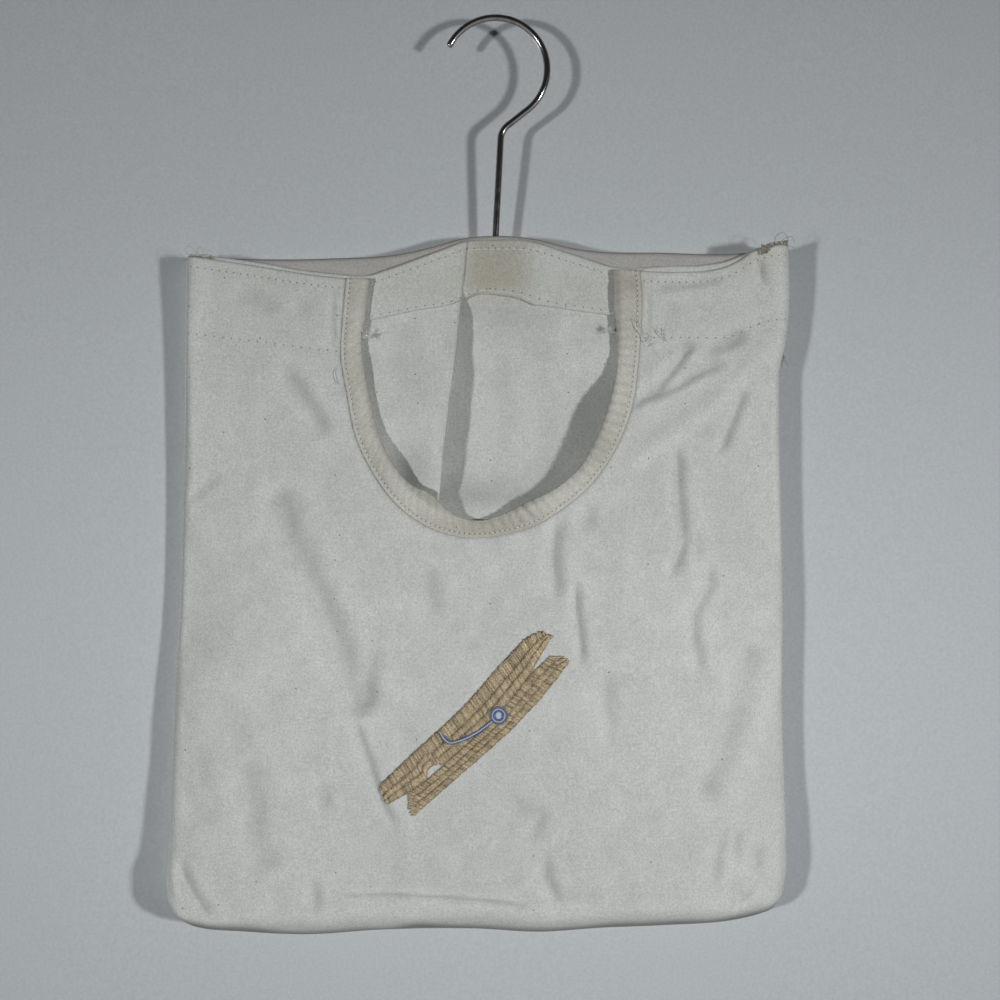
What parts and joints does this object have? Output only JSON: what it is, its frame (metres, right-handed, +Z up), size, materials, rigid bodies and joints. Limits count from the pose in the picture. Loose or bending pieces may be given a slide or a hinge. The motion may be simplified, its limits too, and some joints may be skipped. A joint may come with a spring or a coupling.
{
  "type": "peg bag",
  "caption": "Flat cotton bag with a bound U-shaped mouth that stores clothes pegs, hung from a swivelling wire hook set in a hidden wooden bar.",
  "frame": {"origin": "seat of the hook, the underside of its crown, where it hangs on a rail or nail", "axes": "+Z up along the bag's height, -Y out of the bag's front, +X to the right of someone who looks at the front"},
  "size_m": [0.3264, 0.0376, 0.4863],
  "materials": {
    "chromed_wire": "bright drawn wire, slightly worn",
    "beech": "plain sanded wood",
    "cotton": "washed off-white plain weave, creased",
    "yellowed_cotton": "washed plain weave, yellowed with handling",
    "white_thread": "cotton sewing thread",
    "beige_thread": "satin stitch, silky",
    "blue_thread": "satin stitch, silky"
  },
  "bodies": {
    "bag": {"hanger_bar": "beech", "front_panel": "cotton", "inner_back_panel": "cotton", "outer_back_panel": "cotton", "mouth_binding": "yellowed_cotton", "binding_stitch": "white_thread", "top_stitch_left": "white_thread", "top_stitch_right": "white_thread", "hem_stitch_left": "white_thread", "hem_stitch_right": "white_thread", "inner_top_stitch": "white_thread", "inner_hem_stitch": "white_thread", "casing_stitch": "white_thread", "side_seam_left": "white_thread", "side_seam_right": "white_thread", "bottom_seam": "white_thread", "corner_tack_left": "white_thread", "corner_tack_right": "white_thread", "embroidered_peg": "beige_thread", "embroidered_spring": "blue_thread"},
    "hook": {"hanger_hook": "chromed_wire"}
  },
  "joints": [
    {"name": "hook_swivel", "type": "hinge", "parent": "bag", "child": "hook", "pos_m": [0, 0, -0.13], "axis": [0, 0, 1], "continuous": true}
  ]
}
